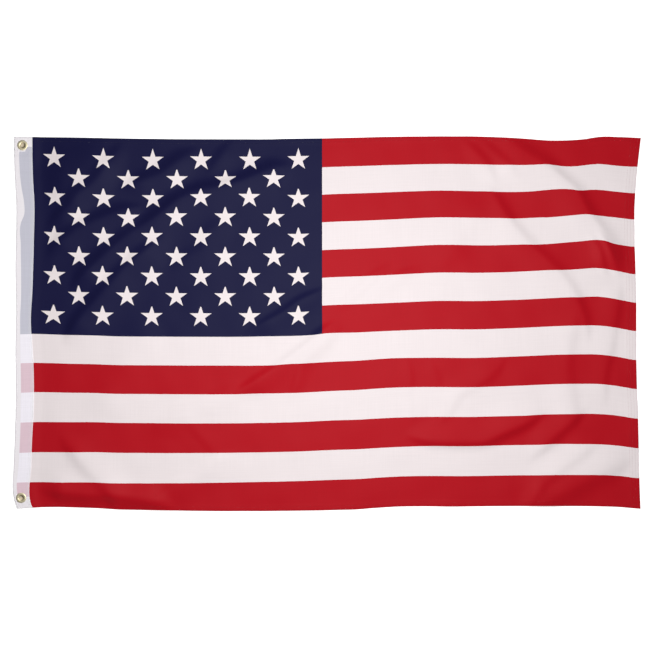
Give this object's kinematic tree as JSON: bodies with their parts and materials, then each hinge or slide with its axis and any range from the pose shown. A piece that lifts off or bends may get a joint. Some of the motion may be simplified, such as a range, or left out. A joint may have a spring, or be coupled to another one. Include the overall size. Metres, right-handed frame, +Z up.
{
  "type": "flag",
  "caption": "Rectangular printed cloth flag with stars and stripes, lying face up, with a folded white heading at the hoist and a brass grommet in each end of it.",
  "frame": {"origin": "middle of the footprint, on the surface that the flag lies on", "axes": "+X from the hoist (the side with the grommets) to the fly, +Y from the bottom edge to the top edge, +Z up out of the printed face"},
  "size_m": [1.5322, 0.9136, 0.0096],
  "materials": {
    "printed_cloth": "thin woven polyester, printed with red and white stripes and a navy corner with white stars, softly creased",
    "heading_cloth": "plain white woven polyester canvas, thin enough for the print beneath to show through",
    "brass": "plain pressed brass, softly polished"
  },
  "bodies": {
    "root": {"field": "printed_cloth", "heading": "heading_cloth", "eyelet_top": "brass", "eyelet_bottom": "brass", "washer_top": "brass", "washer_bottom": "brass"}
  },
  "joints": []
}
